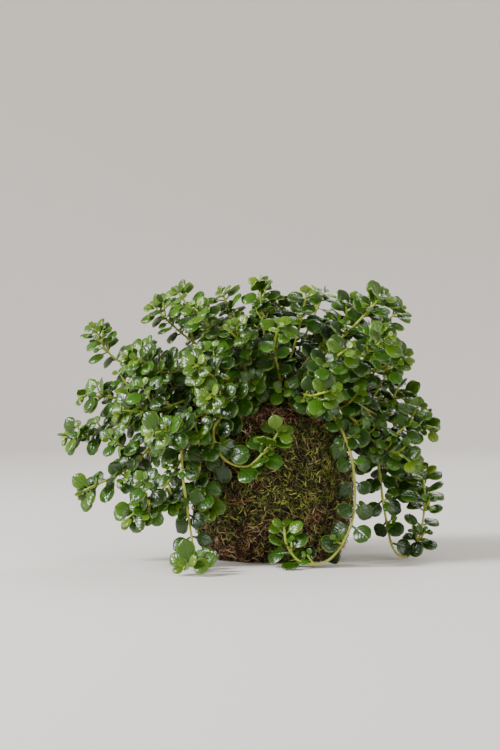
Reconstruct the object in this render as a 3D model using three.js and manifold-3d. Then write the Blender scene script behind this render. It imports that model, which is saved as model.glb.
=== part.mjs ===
// A kokedama: a ball of soil wrapped in sheet moss and bound with thread, with a creeping plant
// growing out of its open top. Each leafy stem stands in its own plain hole in the soil.
// Millimetres, +Z up. The origin is the middle of the small flat spot that the ball rests on,
// and the side seen in the photograph faces -Y.
import * as THREE from 'three';
import { mergeVertices } from 'three/addons/utils/BufferGeometryUtils.js';
import Module from 'manifold-3d';

const wasm = await Module();
wasm.setup();

// The moss ball
const BALL_RADIUS = 45;
const WAIST_HEIGHT = 42; // the level at which the ball is widest
const UPPER_REACH = 55; // how far up its curve would go if the mouth didn't cut it
const LOWER_REACH = 60; // how far down its curve would go if the flat spot didn't cut it
const FOOT_RADIUS = 33;
const FOOT_EDGE = 1.5; // how far the flat spot's edge is rounded up
const MOSS_THICKNESS = 7;
const MOUTH_RADIUS = 26; // the opening in the moss that the stems come out of
const RIM_HEIGHT = 87;
const RIM_DEPTH = 6; // how far down the mouth's straight wall goes
const BALL_SEGMENTS = 24;
const FIT_GAP = 0.35; // the clearance between neighbouring pieces
const THREAD_GAP = 0.45; // and between the thread and its groove

// The soil inside it
const SOIL_TOP = 91;
const SOIL_DOME = 4; // how much lower the soil is at the moss's mouth than in its middle
const SOIL_SEGMENTS = 16;

// The thread that binds the moss
const THREAD_RADIUS = 0.6;
const THREAD_LOOPS = 2;
const THREAD_SIDES = 3;
const THREAD_SEGMENTS = 20;
const THREAD_TILT = THREE.MathUtils.degToRad(50);
const THREAD_SINK = 0.2; // the thread's middle lies this far under the moss's surface
const THREAD_CENTRE = 46;

// Stems
const STEM_RADIUS = 1.05;
const STEM_SIDES = 4;
const STEM_STEP = 18; // length of one straight piece of a stem
const HOLE_DEPTH = 5;
const HOLE_SIDES = 4;
const HOLE_RADIUS = 2.05;
const HOLE_FLOOR_GAP = 0.8; // between a hole's floor and the slanting end of its stem
const HOLE_OVERSHOOT = 5; // how far the cutter stands out of the soil
const CROWN_RADIUS = 22.5; // the outermost stems leave the soil this far from its middle
const CROWN_SPACING = 5.2; // between neighbouring stems where they leave the soil
const CROWN_ROUNDS = 80;
const CROWN_CENTRE = 78; // stems fan out from this height on the ball's axis
const WIDEST_LEAN = THREE.MathUtils.degToRad(110);
const START_LEAN = 0.36; // share of a stem's whole lean that it has where it leaves the soil
const END_LEAN = 0.72; // and at its tip, which turns back up to the light
const START_PULL = 0.42; // how long each end keeps its direction, as a share of the stem's reach
const END_PULL = 0.3;
const ARCH_STOPS = [0.12, 0.36, 0.68]; // where the stem bends a little to one side
const WIGGLE = 3; // how far

// Leaves: the blade's outline as shares of its length and half width, from the stem outwards
const LEAF_LENGTH = 12;
const LEAF_HALF_WIDTH = 4.3;
const LEAF_THICKNESS = 0.7;
const LEAF_ROWS = [[0, 0], [0.46, 0.84], [0.76, 1], [1, 0.46]];
const LEAF_ARCH = 1.3; // how far the leaf's end bends down
const MOST_LEAVES = 6; // on one stem
const NODE_GAPS = [1.2, 4, 5, 6, 7, 9, 10, 12, 13]; // from the tip back, a leaf node after each
const LEAVES_KEPT = [2, 2, 0, 1, 0, 1]; // how many leaves of each node's pair are built
const NODE_SCALES = [0.65, 0.95, 1]; // young leaves at the tip are smaller
const LEAFY_SHARE = 0.75; // how much of a stem's length bears leaves, from its tip
const LEAF_OPENING = [0.75, 0.95, 1.1]; // the angle between a leaf and the stem's tip, in radians
const SURFACE_GAP = 0.5; // leaves stay this far above what the ball stands on
const LIGHT = new THREE.Vector3(-0.35, -0.8, 0.5).normalize(); // leaves turn towards the window
const LIGHT_PULL = 0.8; // how much, against their stem's direction, the sky and the open side
const STEM_PULL = 0.3;
const SKY_PULL = 0.25;
const OPEN_PULL = 0.25;
const SHADED_PULL = 0.5; // on the far side, how much of the window's pull goes to the open side

const UP = new THREE.Vector3(0, 0, 1);

// Where each upright or arching stem ends
const TIPS = {
  top: [
    [-56, -20, 158], [-45, -42, 148], [-71, -4, 150], [-30, 6, 159], [-8, -6, 164], [8, 20, 154],
    [20, -14, 157], [32, 14, 159], [50, -8, 153], [65, -20, 156], [77, 10, 148], [-21, -48, 137],
    [3, -48, 137], [42, -52, 124], [-44, -62, 115],
  ],
  left: [
    [-106, -6, 137], [-84, -30, 121], [-110, -24, 97], [-122, -8, 72], [-111, -32, 41],
    [-88, -44, 88], [-68, -66, 76], [-82, -60, 28], [-36, -70, 98],
  ],
  right: [
    [79, -4, 120], [66, -42, 131], [84, 18, 96], [94, -14, 77], [79, -40, 60], [92, 10, 36],
    [32, -58, 100],
  ],
  back: [
    [-48, 44, 148], [-5, 60, 146], [42, 52, 143], [-86, 42, 108], [-40, 84, 98], [20, 90, 94],
    [74, 60, 106], [-94, 46, 54], [-32, 92, 46], [40, 88, 38], [88, 54, 50],
  ],
};

// The routes of the stems that trail over the ball, from just outside its mouth to the tip
const TRAILS = {
  front_left: [
    [-34, -17, 94], [-51, -37, 80], [-52, -52, 57], [-48, -59, 28], [-44, -68, 6], [-41, -88, 3],
    [-48, -106, 6],
  ],
  front_inner: [
    [-28, -24, 94], [-41, -41, 83], [-42, -48, 58], [-42, -50, 44], [-37, -53, 31],
  ],
  front_right: [
    [28, -24, 94], [43, -40, 70], [47, -48, 43], [44, -54, 22], [32, -64, 5], [17, -68, 3],
    [8, -64, 12], [6, -62, 24],
  ],
  front_sprig: [
    [-21, -30, 92], [-34, -46, 78], [-29, -53, 62], [-15, -57, 57], [-3, -60, 68], [3, -61, 77],
  ],
  right: [
    [35, -3, 96], [53, -3, 84], [62, -10, 60], [66, -18, 30], [71, -24, 7], [80, -25, 3],
    [87, -22, 16], [90, -18, 36], [89, -16, 52],
  ],
};

// The route of the upright stem that leaves the crown low at the left and turns up at its end
const TURNED_UP = {
  leafy_stem_left_01: [
    [-40, 2, 108], [-62, 0, 110], [-80, -3, 112], [-94, -5, 119], [-101, -6, 127], [-106, -6, 137],
  ],
};

// A seeded draw of numbers from 0 to 1, the same on every run
function drawFrom(seed) {
  let state = seed;
  return () => (state = (state * 16807) % 2147483647) / 2147483647;
}

// A closed mesh as a solid that can be joined and cut
function toSolid(geometry) {
  const bare = geometry.index ? geometry.toNonIndexed() : geometry.clone();
  bare.deleteAttribute('normal');
  bare.deleteAttribute('uv');
  const merged = mergeVertices(bare, 1e-4);
  return new wasm.Manifold(new wasm.Mesh({
    numProp: 3,
    vertProperties: merged.attributes.position.array,
    triVerts: new Uint32Array(merged.index.array),
  }));
}

function toGeometry(solid) {
  const mesh = solid.getMesh();
  const geometry = new THREE.BufferGeometry();
  geometry.setAttribute('position', new THREE.BufferAttribute(mesh.vertProperties, 3));
  geometry.setIndex(new THREE.BufferAttribute(mesh.triVerts, 1));
  geometry.computeVertexNormals();
  return geometry;
}

// Moves each vertex of a geometry to where a rule puts it
function reshape(geometry, rule) {
  const position = geometry.attributes.position;
  const point = new THREE.Vector3();
  for (let i = 0; i < position.count; i++) {
    rule(point.fromBufferAttribute(position, i), i);
    position.setXYZ(i, point.x, point.y, point.z);
  }
  return geometry;
}

// The ball's radius at a height, before its lumps
function ballRadius(z) {
  const lower = z < WAIST_HEIGHT;
  const reach = lower ? LOWER_REACH : UPPER_REACH;
  const power = lower ? 2.4 : 2.2;
  const share = Math.min(1, Math.abs(z - WAIST_HEIGHT) / reach);
  return BALL_RADIUS * (1 - share ** power) ** (1 / power);
}

// The lumps of hand-wrapped moss
function mossLump(angle, z) {
  const fade = Math.min(1, z / 20);
  return fade * (0.9 * Math.sin(3 * angle + z / 14) + 0.7 * Math.sin(5 * angle - z / 9 + 1)
    + 0.4 * Math.sin(8 * angle + z / 6));
}

function soilHeight(radius) {
  return SOIL_TOP - SOIL_DOME * (radius / MOUTH_RADIUS) ** 2;
}

// Sheet moss: a bowl that covers the soil but for the mouth at its top
function mossWrap() {
  const outer = [[0, 0], [FOOT_RADIUS, 0]];
  for (const z of [FOOT_EDGE, 8, 20, 32, 44, 56, 67, 76, 83]) {
    outer.push([ballRadius(z), z]);
  }
  outer.push([MOUTH_RADIUS + 2.5, RIM_HEIGHT]);
  const inner = [[MOUTH_RADIUS, RIM_HEIGHT - 1], [MOUTH_RADIUS, RIM_HEIGHT - RIM_DEPTH]];
  for (const z of [70, 50, 30, 14]) {
    inner.push([ballRadius(z) - MOSS_THICKNESS, z]);
  }
  inner.push([FOOT_RADIUS - MOSS_THICKNESS, MOSS_THICKNESS], [0, MOSS_THICKNESS]);
  const profile = [...outer, ...inner].map(([r, z]) => new THREE.Vector2(r, z));
  const geometry = new THREE.LatheGeometry(profile, BALL_SEGMENTS).rotateX(Math.PI / 2);
  reshape(geometry, (point, i) => {
    const onOutside = i % profile.length < outer.length - 1;
    const radius = Math.hypot(point.x, point.y);
    if (!onOutside || radius < 1 || point.z < FOOT_EDGE / 2) return;
    const scale = 1 + mossLump(Math.atan2(point.y, point.x), point.z) / radius;
    point.x *= scale;
    point.y *= scale;
  });
  return toSolid(geometry);
}

// The soil ball that fills the moss, before its holes
function soilBall() {
  const shrink = MOSS_THICKNESS + FIT_GAP;
  const base = MOSS_THICKNESS + FIT_GAP;
  const profile = [[0, base], [FOOT_RADIUS - shrink - 0.3, base]];
  for (const z of [14, 30, 50, 70]) profile.push([ballRadius(z) - shrink - 0.5, z]);
  const mouth = MOUTH_RADIUS - FIT_GAP - 0.3;
  profile.push([mouth, RIM_HEIGHT - RIM_DEPTH - 2 * FIT_GAP], [mouth, soilHeight(mouth)]);
  profile.push([mouth / 2, soilHeight(mouth / 2)], [0, SOIL_TOP]);
  const points = profile.map(([r, z]) => new THREE.Vector2(r, z));
  return toSolid(new THREE.LatheGeometry(points, SOIL_SEGMENTS).rotateX(Math.PI / 2));
}

// How far the moss's surface lies from the ball's middle in a direction
function surfaceAlong(direction) {
  let near = 20;
  let far = 80;
  for (let i = 0; i < 24; i++) {
    const middle = (near + far) / 2;
    const z = THREAD_CENTRE + direction.z * middle;
    const radius = Math.hypot(direction.x, direction.y) * middle;
    const surface = z > RIM_HEIGHT || z < 0 ? 0
      : ballRadius(z) + mossLump(Math.atan2(direction.y, direction.x), z);
    if (radius < surface) near = middle;
    else far = middle;
  }
  return near;
}

// Loops of thread round the moss, each tilted to pass below the mouth and above the flat spot
function threadLoops(tubeRadius) {
  const loops = [];
  for (let k = 0; k < THREAD_LOOPS; k++) {
    const turn = (k / THREAD_LOOPS) * Math.PI;
    const tilted = new THREE.Matrix4().makeRotationZ(turn)
      .multiply(new THREE.Matrix4().makeRotationX(THREAD_TILT));
    const ring = new THREE.TorusGeometry(BALL_RADIUS, tubeRadius, THREAD_SIDES, THREAD_SEGMENTS);
    reshape(ring, (point) => {
      const across = point.z;
      const outwards = Math.hypot(point.x, point.y) - BALL_RADIUS;
      const direction = new THREE.Vector3(point.x, point.y, 0).normalize().transformDirection(tilted);
      const axis = new THREE.Vector3(0, 0, 1).transformDirection(tilted);
      point.copy(direction).multiplyScalar(surfaceAlong(direction) - THREAD_SINK + outwards);
      point.addScaledVector(axis, across).z += THREAD_CENTRE;
    });
    loops.push(toSolid(ring));
  }
  return wasm.Manifold.union(loops);
}

// A regular polygon that stands for a round section
function roundSection(radius, sides) {
  const corners = [];
  for (let i = 0; i < sides; i++) {
    const angle = ((i + 0.5) / sides) * 2 * Math.PI;
    corners.push(new THREE.Vector2(radius * Math.cos(angle), radius * Math.sin(angle)));
  }
  return new THREE.Shape(corners);
}

function tube(path, radius, sides, steps) {
  const section = roundSection(radius, sides);
  return toSolid(new THREE.ExtrudeGeometry(section, { steps, bevelEnabled: false, extrudePath: path }));
}

// Where a stem would leave the soil if it had no neighbours: on the side it leans to, and the
// further out the more it leans
function wantedStart(stem) {
  const aim = new THREE.Vector3(...(stem.route ? stem.route[0] : stem.tip));
  stem.outwards = new THREE.Vector3(aim.x, aim.y, 0).normalize();
  stem.fromUp = Math.atan2(Math.hypot(aim.x, aim.y), aim.z - CROWN_CENTRE);
  const spread = stem.route ? 1 : Math.min(1, stem.fromUp / WIDEST_LEAN) ** 0.7;
  return stem.outwards.clone().multiplyScalar(CROWN_RADIUS * spread);
}

// Moves the starts of neighbouring stems apart until each has its own patch of soil
function spreadStarts(stems) {
  for (const stem of stems) stem.start = wantedStart(stem);
  for (let round = 0; round < CROWN_ROUNDS; round++) {
    stems.forEach((one, i) => {
      for (const other of stems.slice(i + 1)) {
        const apart = one.start.clone().sub(other.start);
        const short = CROWN_SPACING - apart.length();
        if (short <= 0) continue;
        apart.setLength(short / 2);
        one.start.add(apart);
        other.start.sub(apart);
      }
      one.start.clampLength(0, CROWN_RADIUS);
    });
  }
  for (const stem of stems) stem.start.setZ(soilHeight(stem.start.length()));
}

// The line that a stem follows: out of the soil, through three points of an arch, to its tip.
// A stem that trails or turns up has its own route in place of the arch.
function stemLine(stem) {
  const { outwards, fromUp, start } = stem;
  const tip = new THREE.Vector3(...stem.tip);
  const lean = START_LEAN * Math.min(fromUp, WIDEST_LEAN);
  const rise = outwards.clone().multiplyScalar(Math.sin(lean)).addScaledVector(UP, Math.cos(lean));
  const buried = start.clone().addScaledVector(rise, -HOLE_DEPTH);
  if (stem.route) {
    return new THREE.CatmullRomCurve3(
      [buried, start, ...stem.route.map((p) => new THREE.Vector3(...p))], false, 'catmullrom', 0.5);
  }
  const length = tip.distanceTo(start);
  const endLean = END_LEAN * fromUp;
  const arrive = outwards.clone().multiplyScalar(Math.sin(endLean)).addScaledVector(UP, Math.cos(endLean));
  const arch = new THREE.CubicBezierCurve3(start,
    start.clone().addScaledVector(rise, START_PULL * length),
    tip.clone().addScaledVector(arrive, -END_PULL * length), tip);
  const sideways = new THREE.Vector3().crossVectors(UP, outwards);
  const bends = ARCH_STOPS.map((t) =>
    arch.getPoint(t).addScaledVector(sideways, WIGGLE * (2 * stem.draw() - 1)));
  return new THREE.CatmullRomCurve3([buried, start, ...bends, tip], false, 'catmullrom', 0.5);
}

// The point that lies some way back from a stem's tip along its straight pieces
function pointBack(stem, back) {
  const { joints } = stem;
  let rest = back;
  for (let i = joints.length - 1; i > 0; i--) {
    const piece = joints[i].distanceTo(joints[i - 1]);
    if (rest <= piece) {
      return {
        at: joints[i].clone().lerp(joints[i - 1], rest / piece),
        along: joints[i].clone().sub(joints[i - 1]).normalize(),
      };
    }
    rest -= piece;
  }
  return null;
}

// The way that a leaf's upper side turns: between its stem's direction, the sky, the window and
// the side of the plant that it is on, which counts for more on the side away from the window
function leafFacing(at, along) {
  const open = new THREE.Vector3(at.x, at.y, 0).normalize();
  const shaded = SHADED_PULL * Math.max(0, open.y);
  return along.clone().multiplyScalar(STEM_PULL).addScaledVector(UP, SKY_PULL)
    .addScaledVector(LIGHT, LIGHT_PULL - shaded).addScaledVector(open, OPEN_PULL + shaded).normalize();
}

// Leaf places on a stem, from the tip back. Pairs stand crosswise to each other.
function leafPlaces(stem) {
  const { draw } = stem;
  const outwards = new THREE.Vector3(stem.tip[0], stem.tip[1], 0).normalize();
  const acrossPlane = new THREE.Vector3().crossVectors(UP, outwards);
  const places = [];
  let back = 0;
  for (let k = 0; ; k++) {
    back += NODE_GAPS[Math.min(k, NODE_GAPS.length - 1)];
    if (back > stem.length * LEAFY_SHARE) return places;
    const { at, along } = pointBack(stem, back);
    const side = acrossPlane.clone().addScaledVector(along, -acrossPlane.dot(along)).normalize();
    const over = new THREE.Vector3().crossVectors(along, side);
    const angle = Math.PI / 4 + (k * Math.PI) / 2 + 0.5 * (draw() - 0.5);
    const scale = NODE_SCALES[Math.min(k, NODE_SCALES.length - 1)] * (0.9 + 0.2 * draw());
    const opening = LEAF_OPENING[Math.min(k, LEAF_OPENING.length - 1)] + 0.3 * (draw() - 0.5);
    const facing = leafFacing(at, along);
    const first = draw() < 0.5 ? 1 : -1;
    for (const sign of [first, -first].slice(0, LEAVES_KEPT[k % LEAVES_KEPT.length])) {
      places.push({ at, along, side, over, angle, scale, opening, facing, sign });
    }
  }
}

// The matrix that puts a leaf on its stem, with its upper face towards the light
function leafMatrix(place, twist) {
  const angle = place.angle + twist;
  const radial = place.side.clone().multiplyScalar(Math.cos(angle))
    .addScaledVector(place.over, Math.sin(angle));
  const axis = radial.multiplyScalar(place.sign * Math.sin(place.opening))
    .addScaledVector(place.along, Math.cos(place.opening));
  axis.addScaledVector(place.facing, -0.5 * axis.dot(place.facing)).normalize();
  const normal = place.facing.clone().addScaledVector(axis, -place.facing.dot(axis)).normalize();
  const across = new THREE.Vector3().crossVectors(normal, axis);
  return new THREE.Matrix4().makeBasis(axis, across, normal).setPosition(place.at);
}

// A leaf blade that narrows to its stalk, arched along its length. A margin makes the slightly
// larger copy that is used to keep leaves clear of each other.
function leafBlade(scale, matrix, margin = 0) {
  const steps = LEAF_ROWS.length - 1;
  const geometry = new THREE.BoxGeometry(1, 2, 1, steps, 1, 1);
  reshape(geometry, (point) => {
    const [share, width] = LEAF_ROWS[Math.round((point.x + 0.5) * steps)];
    const halfWidth = width * LEAF_HALF_WIDTH * scale;
    const arch = LEAF_ARCH * scale * share * share;
    const far = share === 0 ? 0 : margin;
    point.set(share * LEAF_LENGTH * scale + far, Math.sign(point.y) * (halfWidth + far),
      2 * point.z * (LEAF_THICKNESS / 2 + margin) - arch);
  });
  return toSolid(geometry.applyMatrix4(matrix));
}

function boxesMeet(a, b) {
  return [0, 1, 2].every((i) => a.min[i] <= b.max[i] && b.min[i] <= a.max[i]);
}

function meets(solid, others) {
  const box = solid.boundingBox();
  return others.some((other) => boxesMeet(box, other.box) && !solid.intersect(other.solid).isEmpty());
}

function withBox(solid) {
  return { solid, box: solid.boundingBox() };
}

// Fuses as many leaves to a stem as fit between its neighbours. A leaf that would touch
// something is turned a little round the stem, and left out if no turn clears it.
function addLeaves(stem, neighbours) {
  const kept = [];
  for (const place of leafPlaces(stem)) {
    if (kept.length === MOST_LEAVES) break;
    for (const twist of [0, 0.35, -0.35, 0.7, -0.7]) {
      const matrix = leafMatrix(place, twist);
      const room = leafBlade(place.scale, matrix, FIT_GAP);
      if (room.boundingBox().min[2] < SURFACE_GAP || meets(room, neighbours)) continue;
      kept.push(withBox(leafBlade(place.scale, matrix)));
      break;
    }
  }
  return kept;
}

// The list of stems, each with its own draw
const stems = [];
function addStem(name, tip, route) {
  const draw = drawFrom(7919 * (stems.length + 11));
  draw();
  stems.push({ name, tip, route: route ?? TURNED_UP[name], draw });
}
for (const [group, tips] of Object.entries(TIPS)) {
  tips.forEach((tip, i) => addStem(`leafy_stem_${group}_${String(i + 1).padStart(2, '0')}`, tip));
}
for (const [name, route] of Object.entries(TRAILS)) {
  addStem(`leafy_stem_trailing_${name}`, route[route.length - 1], route);
}
spreadStarts(stems);
for (const stem of stems) {
  stem.line = stemLine(stem);
  stem.length = stem.line.getLength();
  stem.steps = Math.max(5, Math.round(stem.length / STEM_STEP));
  stem.joints = stem.line.getSpacedPoints(stem.steps);
  stem.parts = [withBox(tube(stem.line, STEM_RADIUS, STEM_SIDES, stem.steps))];
}

// Each stem's plain hole in the soil, along the stem's first straight piece
function stemHole(stem) {
  const [foot, next] = stem.joints;
  const direction = next.clone().sub(foot).normalize();
  const bottom = foot.clone().addScaledVector(direction, -HOLE_FLOOR_GAP);
  const top = foot.clone().addScaledVector(direction, HOLE_DEPTH + HOLE_OVERSHOOT);
  return tube(new THREE.LineCurve3(bottom, top), HOLE_RADIUS, HOLE_SIDES, 1);
}

const thread = threadLoops(THREAD_RADIUS);
const moss = mossWrap().subtract(threadLoops(THREAD_RADIUS + THREAD_GAP));
const soil = soilBall().subtract(wasm.Manifold.union(stems.map(stemHole)));

for (const stem of stems) {
  const neighbours = [withBox(moss), withBox(thread), withBox(soil)];
  for (const other of stems) if (other !== stem) neighbours.push(...other.parts);
  stem.parts.push(...addLeaves(stem, neighbours));
}

function finish(colour, roughness) {
  return new THREE.MeshStandardMaterial({ color: colour, roughness, metalness: 0 });
}

const mossFinish = finish(0x5d5a24, 0.95);
const soilFinish = finish(0x2e2118, 0.95);
const threadFinish = finish(0x3a3d22, 0.8);
const leafFinish = finish(0x4f8a1e, 0.35);

const kokedama = new THREE.Group();
function addPiece(name, solid, material) {
  const mesh = new THREE.Mesh(toGeometry(solid), material);
  mesh.name = name;
  kokedama.add(mesh);
}
addPiece('moss_wrap', moss, mossFinish);
addPiece('soil_ball', soil, soilFinish);
addPiece('binding_thread', thread, threadFinish);
for (const stem of stems) {
  addPiece(stem.name, wasm.Manifold.union(stem.parts.map((part) => part.solid)), leafFinish);
}

export default kokedama;
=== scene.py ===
import math

import bmesh
import bpy
import numpy as np
from mathutils import Matrix, Vector, noise


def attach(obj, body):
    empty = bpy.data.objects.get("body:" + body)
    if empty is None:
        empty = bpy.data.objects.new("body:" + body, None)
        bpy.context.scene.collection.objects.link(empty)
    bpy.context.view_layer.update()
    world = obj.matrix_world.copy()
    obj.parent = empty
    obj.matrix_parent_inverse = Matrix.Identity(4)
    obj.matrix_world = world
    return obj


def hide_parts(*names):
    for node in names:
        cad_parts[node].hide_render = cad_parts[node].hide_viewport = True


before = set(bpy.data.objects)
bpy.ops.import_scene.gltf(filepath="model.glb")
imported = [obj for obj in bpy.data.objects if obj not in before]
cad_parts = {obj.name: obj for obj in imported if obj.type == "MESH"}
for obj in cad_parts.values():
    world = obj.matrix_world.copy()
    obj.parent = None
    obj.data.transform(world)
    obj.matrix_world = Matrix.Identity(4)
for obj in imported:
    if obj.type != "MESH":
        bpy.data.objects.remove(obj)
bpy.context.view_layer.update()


# Sheet moss: mats of moss peeled from the ground and wrapped round the soil ball by hand, so it
# is lumpy, flat where it stands and open at the top. This is the felt of old brown shoots that
# holds a mat together, coloured darker than its brown as painted shade under the living shoots.
# Shapes are worked out in millimetres, as the CAD model's are.

BALL_RADIUS = 45
WAIST_HEIGHT = 42
UPPER_REACH = 55
LOWER_REACH = 60
UPPER_POWER = 2.2
LOWER_POWER = 2.4
FOOT_RADIUS = 33
MOSS_THICKNESS = 7
MOUTH_RADIUS = 26
RIM_HEIGHT = 87
RIM_DEPTH = 6
FELT_STEPS = 96


def linear(hex_colour):
    """A screen colour such as "6b7424" as the four numbers that a shader takes."""
    shares = [int(hex_colour[i:i + 2], 16) / 255 for i in (0, 2, 4)]
    return [s / 12.92 if s < 0.04045 else ((s + 0.055) / 1.055) ** 2.4 for s in shares] + [1.0]


def new_material(name):
    """A material with no nodes in it yet."""
    material = bpy.data.materials.new(name)
    material.use_nodes = True
    material.node_tree.nodes.clear()
    return material


def add_node(material, kind, settings=None, links=None):
    """Adds a node. Its settings are properties, plain inputs or the stops of a colour ramp."""
    node = material.node_tree.nodes.new(kind)
    for key, value in (settings or {}).items():
        if key == "stops":
            elements = node.color_ramp.elements
            elements[0].position, elements[1].position = value[0][0], value[-1][0]
            for position, _ in value[1:-1]:
                elements.new(position)
            for element, (_, colour) in zip(elements, value):
                element.color = linear(colour)
        elif isinstance(key, str) and hasattr(node, key):
            setattr(node, key, value)
        else:
            node.inputs[key].default_value = value
    for key, socket in (links or {}).items():
        material.node_tree.links.new(socket, node.inputs[key])
    return node


def add_piece(name, mesh, materials, slot, *nodes):
    """Puts a mesh in millimetres into the scene as a finished piece."""
    mesh.transform(Matrix.Scale(0.001, 4))
    for material in materials:
        mesh.materials.append(material)
    piece = bpy.data.objects.new(name, mesh)
    bpy.context.scene.collection.objects.link(piece)
    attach(piece, "root")
    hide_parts(*nodes)


def ball_radius(z):
    """The ball's radius at a height, before its lumps: it curves in above and below its waist."""
    reach, power = (LOWER_REACH, LOWER_POWER) if z < WAIST_HEIGHT else (UPPER_REACH, UPPER_POWER)
    share = min(1, abs(z - WAIST_HEIGHT) / reach)
    return BALL_RADIUS * (1 - share ** power) ** (1 / power)


def moss_lump(angle, z):
    """How far the hand-wrapped moss stands out or in."""
    fade = min(1, z / 20)
    return fade * (0.9 * math.sin(3 * angle + z / 14) + 0.7 * math.sin(5 * angle - z / 9 + 1)
                   + 0.4 * math.sin(8 * angle + z / 6))


def spin_round(profile, steps):
    """A closed shape from (radius, height) points that start and end on the axis."""
    bm = bmesh.new()
    verts = [bm.verts.new((radius, 0, z)) for radius, z in profile]
    for pair in zip(verts, verts[1:]):
        bm.edges.new(pair)
    bmesh.ops.spin(bm, geom=bm.verts[:] + bm.edges[:], cent=(0, 0, 0), axis=(0, 0, 1),
                   angle=2 * math.pi, steps=steps, use_merge=True)
    bmesh.ops.remove_doubles(bm, verts=bm.verts, dist=1e-4)
    bmesh.ops.recalc_face_normals(bm, faces=bm.faces)
    return bm


def moss_felt_mesh():
    """A bowl with a flat foot and an open mouth, pushed in and out where the moss is lumpy."""
    outside = [(ball_radius(z), z) for z in [1.5, 4] + list(range(8, 85, 4))]
    rim = [(MOUTH_RADIUS + 2.5, RIM_HEIGHT), (MOUTH_RADIUS, RIM_HEIGHT - 1),
           (MOUTH_RADIUS, RIM_HEIGHT - RIM_DEPTH)]
    inside = [(ball_radius(z) - MOSS_THICKNESS, z) for z in (70, 50, 30, 14)]
    floor = [(FOOT_RADIUS - MOSS_THICKNESS, MOSS_THICKNESS), (0, MOSS_THICKNESS)]
    bm = spin_round([(0, 0), (FOOT_RADIUS, 0)] + outside + rim + inside + floor, FELT_STEPS)
    for vert in bm.verts:
        radius = math.hypot(vert.co.x, vert.co.y)
        z = vert.co.z
        if 1 < z < RIM_HEIGHT - 2 and radius > ball_radius(z) - 1:
            tufts = 1.1 * noise.noise(vert.co * 0.16) + 0.5 * noise.noise(vert.co * 0.4)
            scale = 1 + (moss_lump(math.atan2(vert.co.y, vert.co.x), z) + tufts) / radius
            vert.co.x *= scale
            vert.co.y *= scale
    mesh = bpy.data.meshes.new("moss_felt")
    bm.to_mesh(mesh)
    bm.free()
    mesh.shade_smooth()
    mesh.set_sharp_from_angle(angle=math.radians(60))
    return mesh


def moss_felt_material():
    """Dead moss shoots, matted and matt, their brown deepened nearly to black as painted shade
    under the living shoots. The fibres are about 1 mm apart, the patches 15 mm.
    """
    material = new_material("Sheet moss felt")
    place = add_node(material, "ShaderNodeTexCoord").outputs["Object"]
    patches = add_node(material, "ShaderNodeTexNoise", {"Scale": 70.0, "Detail": 3.0}, {"Vector": place})
    fibres = add_node(material, "ShaderNodeTexNoise", {"Scale": 900.0, "Detail": 4.0, "Distortion": 1.5},
                      {"Vector": place})
    # The felt's colours, made darker still at its fibres, are nearly black: the dead moss's own brown
    # deepened as painted shade under the shoots.
    felt_colour_with_painted_shade = add_node(material, "ShaderNodeValToRGB",
                            {"stops": [(0.35, "1c1a0a"), (0.5, "28270e"), (0.65, "2e2213")]},
                            {"Fac": patches.outputs["Fac"]})
    colour = add_node(material, "ShaderNodeMix", {"data_type": "RGBA", "blend_type": "MULTIPLY",
                                                  7: linear("2a2a14")},
                      {0: fibres.outputs["Fac"], 6: felt_colour_with_painted_shade.outputs["Color"]})
    bump = add_node(material, "ShaderNodeBump", {"Strength": 0.8, "Distance": 0.001},
                    {"Height": fibres.outputs["Fac"]})
    shader = add_node(material, "ShaderNodeBsdfPrincipled", {"Roughness": 0.95},
                      {"Base Color": colour.outputs[2], "Normal": bump.outputs["Normal"]})
    add_node(material, "ShaderNodeOutputMaterial", links={"Surface": shader.outputs[0]})
    return material


add_piece("moss_felt", moss_felt_mesh(), [moss_felt_material()], "moss", "moss_wrap")


# Moss shoots: the living green and olive shoots of the mats, and dry brown ones where the moss
# was handled at the mouth and the foot. Each is a curled thread of 3 to 7 mm that tapers to
# both ends, and thousands of them stand in the felt at all angles.

SHOOT_LENGTH = 5.8
SHOOT_RADIUS = 0.29
SHOOT_COUNT = 23500
SHOOT_KINDS = 10
MOUTH_SHARE = 0.1
LEAST_RAISE = math.radians(5)
MOST_RAISE = math.radians(55)
SHOOT_COLOURS = {
    "green": [(0.0, "1a1907"), (0.3, "3f4612"), (0.65, "728424"), (1.0, "b6c250")],
    "olive": [(0.0, "1e1908"), (0.35, "4b4415"), (0.7, "807a2e"), (1.0, "c2b66a")],
    "dry": [(0.0, "21130a"), (0.35, "644226"), (0.7, "ad8656"), (1.0, "e8cfa4")],
}
SOIL_TOP = 91
SOIL_DOME = 4


def draw_from(seed):
    """A seeded draw of numbers from 0 to 1, the same as in the CAD model."""
    state = [seed]

    def draw():
        state[0] = state[0] * 16807 % 2147483647
        return state[0] / 2147483647
    return draw


def unit(vector):
    """The direction of a vector, at length 1."""
    return vector / np.linalg.norm(vector)


def add_tube(bm, path, radii, sides, axis=None):
    """A tube along a path. It closes where its radius is 0, or where the path of a loop about
    an axis meets itself."""
    path = np.asarray(path, dtype=float)
    last = len(path) - 1
    steps = np.roll(path, -1, 0) - np.roll(path, 1, 0)
    if axis is None:
        steps[0], steps[last] = path[1] - path[0], path[last] - path[last - 1]
        side = unit(np.cross([0.31, 0.95, 0.02], steps[0]))
    else:
        steps[0] = steps[last] = path[1] - path[last - 1]
        side = np.asarray(axis)
    rings = []
    for point, step, radius in zip(path, steps, radii):
        along = unit(step)
        side = unit(side - along * side.dot(along))
        over = np.cross(along, side)
        rings.append([point + radius * (math.cos(a) * side + math.sin(a) * over)
                      for a in np.linspace(0, 2 * math.pi, sides + 1)])
    grid = bmesh.ops.create_grid(bm, x_segments=sides, y_segments=last, size=1)["verts"]
    for vert in grid:
        vert.co = rings[round((vert.co.y + 1) / 2 * last)][round((vert.co.x + 1) / 2 * sides)]
    bmesh.ops.remove_doubles(bm, verts=grid, dist=1e-4)


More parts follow.
